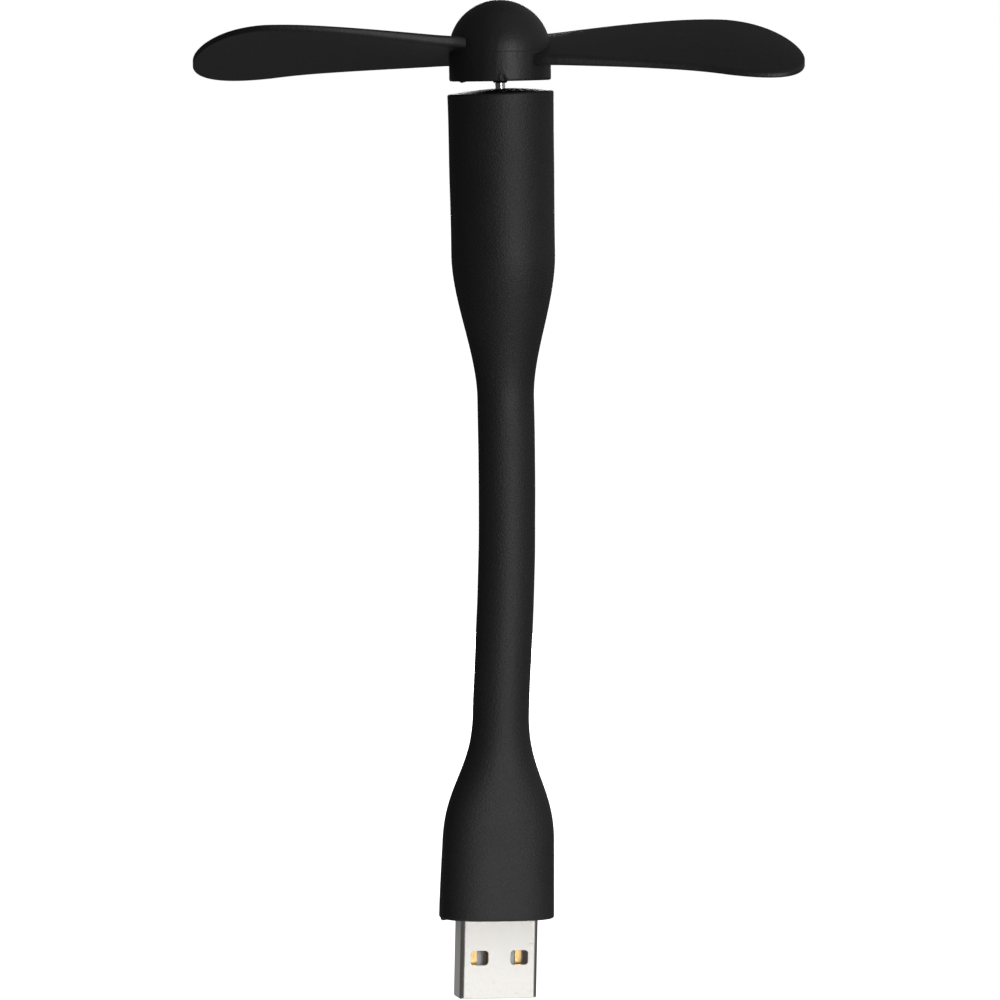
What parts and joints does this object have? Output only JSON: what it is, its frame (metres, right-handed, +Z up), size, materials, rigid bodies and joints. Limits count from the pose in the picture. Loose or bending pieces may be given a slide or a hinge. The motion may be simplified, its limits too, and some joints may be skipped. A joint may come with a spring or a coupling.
{
  "type": "plug-in stick fan",
  "caption": "Bendable stick fan that stands on its own USB plug, with a soft flexible neck and a small motor spinning a soft propeller.",
  "frame": {"origin": "middle of the base's shoulder, where the plug leaves it", "axes": "+Z up the neck, +X along the plug's width, -Y the side where the plug's contacts face"},
  "size_m": [0.0868, 0.0408, 0.1507],
  "materials": {
    "plug_metal": "bright nickel plating",
    "plug_plastic": "moulded, pale grey",
    "gold_contact": "gold plating",
    "solder": "tin solder",
    "hard_plastic": "moulded",
    "cap_plastic": "moulded, matt",
    "soft_black": "soft moulding, fine matt grain",
    "propeller_black": "soft moulding, fine matt grain",
    "wire_steel": "annealed wire",
    "lead_red": "insulated lead",
    "lead_black": "insulated lead",
    "can_steel": "plated steel",
    "magnet": "sintered ferrite",
    "bronze": "sintered bronze",
    "terminal_brass": "tinned brass",
    "copper": "copper",
    "core_iron": "stacked iron sheets",
    "shaft_steel": "ground steel"
  },
  "bodies": {
    "base": {"plug_shell": "plug_metal", "plug_insulator": "plug_plastic", "plug_contacts": "gold_contact", "plug_solder": "solder", "inner_mould": "hard_plastic", "base_housing": "soft_black", "bend_wire": "wire_steel", "lead_positive": "lead_red", "lead_negative": "lead_black"},
    "link_01": {"neck_link_01": "soft_black"},
    "link_02": {"neck_link_02": "soft_black"},
    "link_03": {"neck_link_03": "soft_black"},
    "link_04": {"neck_link_04": "soft_black"},
    "link_05": {"neck_link_05": "soft_black"},
    "link_06": {"neck_link_06": "soft_black"},
    "link_07": {"neck_link_07": "soft_black"},
    "link_08": {"neck_link_08": "soft_black"},
    "link_09": {"neck_link_09": "soft_black"},
    "link_10": {"neck_link_10": "soft_black"},
    "link_11": {"neck_link_11": "soft_black"},
    "head": {"head_housing": "soft_black", "motor_sleeve": "hard_plastic", "head_cap": "cap_plastic", "motor_can": "can_steel", "motor_magnets": "magnet", "front_bearing": "bronze", "rear_bearing": "bronze", "motor_end_cap": "hard_plastic", "motor_terminals": "terminal_brass", "terminal_solder": "solder", "motor_brushes": "copper"},
    "rotor": {"motor_shaft": "shaft_steel", "rotor_core": "core_iron", "rotor_windings": "copper", "commutator_hub": "hard_plastic", "commutator_segments": "copper", "shaft_washers": "hard_plastic", "propeller": "propeller_black"}
  },
  "joints": [
    {"name": "neck_bend_side", "type": "hinge", "parent": "base", "child": "link_01", "pos_m": [0, 0, 0.03296], "axis": [0, 1, 0], "range_deg": [-15, 15], "deforming": ["bend_wire", "lead_positive", "lead_negative"]},
    {"name": "neck_bend_front", "type": "hinge", "parent": "link_01", "child": "link_02", "pos_m": [0.0001, 0, 0.03687], "axis": [0.9997, 0, -0.0244], "range_deg": [-15, 15]},
    {"name": "neck_bend_side_2", "type": "hinge", "parent": "link_02", "child": "link_03", "pos_m": [0.00019, 0, 0.04079], "axis": [0, 1, 0], "range_deg": [-15, 15]},
    {"name": "neck_bend_front_2", "type": "hinge", "parent": "link_03", "child": "link_04", "pos_m": [0.00029, 0, 0.0447], "axis": [0.9997, 0, -0.0244], "range_deg": [-15, 15]},
    {"name": "neck_bend_side_3", "type": "hinge", "parent": "link_04", "child": "link_05", "pos_m": [0.00038, 0, 0.04862], "axis": [0, 1, 0], "range_deg": [-15, 15]},
    {"name": "neck_bend_front_3", "type": "hinge", "parent": "link_05", "child": "link_06", "pos_m": [0.00039, 0, 0.05254], "axis": [1, 0, -0.0017], "range_deg": [-15, 15]},
    {"name": "neck_bend_side_4", "type": "hinge", "parent": "link_06", "child": "link_07", "pos_m": [0.0004, 0, 0.05645], "axis": [0, 1, 0], "range_deg": [-15, 15]},
    {"name": "neck_bend_front_4", "type": "hinge", "parent": "link_07", "child": "link_08", "pos_m": [0.00033, 0, 0.06037], "axis": [0.9998, 0, 0.0175], "range_deg": [-15, 15]},
    {"name": "neck_bend_side_5", "type": "hinge", "parent": "link_08", "child": "link_09", "pos_m": [0.00026, 0, 0.06429], "axis": [0, 1, 0], "range_deg": [-15, 15]},
    {"name": "neck_bend_front_5", "type": "hinge", "parent": "link_09", "child": "link_10", "pos_m": [0.00014, 0, 0.0682], "axis": [0.9995, 0, 0.0314], "range_deg": [-15, 15]},
    {"name": "neck_bend_side_6", "type": "hinge", "parent": "link_10", "child": "link_11", "pos_m": [0.00001, 0, 0.07212], "axis": [0, 1, 0], "range_deg": [-15, 15]},
    {"name": "neck_bend_front_6", "type": "hinge", "parent": "link_11", "child": "head", "pos_m": [-0.00014, 0, 0.07603], "axis": [0.9992, 0, 0.0401], "range_deg": [-15, 15]},
    {"name": "propeller_spin", "type": "hinge", "parent": "head", "child": "rotor", "pos_m": [-0.00014, 0, 0.07603], "axis": [-0.0401, 0, 0.9992], "continuous": true}
  ],
  "couplings": [
    {"joint": "neck_bend_side_2", "follows": "neck_bend_side", "ratio": 1},
    {"joint": "neck_bend_front_2", "follows": "neck_bend_front", "ratio": 1},
    {"joint": "neck_bend_side_3", "follows": "neck_bend_side", "ratio": 1},
    {"joint": "neck_bend_front_3", "follows": "neck_bend_front", "ratio": 1},
    {"joint": "neck_bend_side_4", "follows": "neck_bend_side", "ratio": 1},
    {"joint": "neck_bend_front_4", "follows": "neck_bend_front", "ratio": 1},
    {"joint": "neck_bend_side_5", "follows": "neck_bend_side", "ratio": 1},
    {"joint": "neck_bend_front_5", "follows": "neck_bend_front", "ratio": 1},
    {"joint": "neck_bend_side_6", "follows": "neck_bend_side", "ratio": 1},
    {"joint": "neck_bend_front_6", "follows": "neck_bend_front", "ratio": 1}
  ]
}
